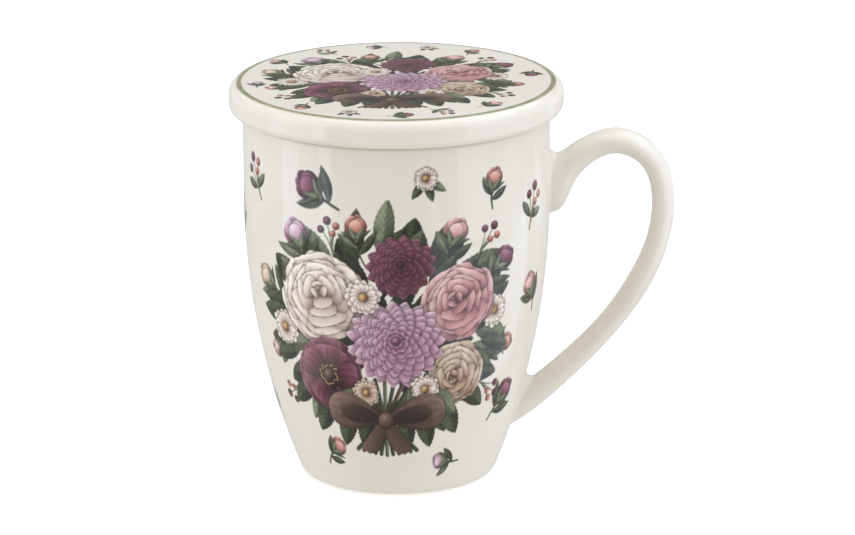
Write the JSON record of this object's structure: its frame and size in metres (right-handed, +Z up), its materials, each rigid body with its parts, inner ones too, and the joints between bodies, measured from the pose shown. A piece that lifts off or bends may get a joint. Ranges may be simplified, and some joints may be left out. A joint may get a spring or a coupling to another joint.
{
  "type": "lidded tea mug with infuser",
  "caption": "Tall tapered porcelain tea mug with a looped strap handle, a loose flat lid and a lift-out slotted steel infuser basket.",
  "frame": {"origin": "on the mug's axis, at the plane of the foot ring that stands on the table", "axes": "+Z up along the mug's axis, +X out through the middle of the handle, +Y to the far side of the handle's plane of symmetry"},
  "size_m": [0.1234, 0.0926, 0.1121],
  "materials": {
    "porcelain": "glossy clear glaze over ivory white porcelain",
    "stainless_steel": "satin stainless sheet"
  },
  "bodies": {
    "mug": {"mug_body": "porcelain", "mug_handle": "porcelain"},
    "infuser": {"infuser_collar": "stainless_steel", "infuser_wall": "stainless_steel", "infuser_floor": "stainless_steel", "infuser_hoop": "stainless_steel"},
    "lid": {"lid": "porcelain"}
  },
  "joints": [
    {"name": "infuser_lift", "type": "slide", "parent": "mug", "child": "infuser", "axis": [0, 0, 1], "range_m": [0, 0.08]},
    {"name": "lid_lift", "type": "slide", "parent": "infuser", "child": "lid", "axis": [0, 0, 1], "range_m": [0, 0.06]}
  ]
}
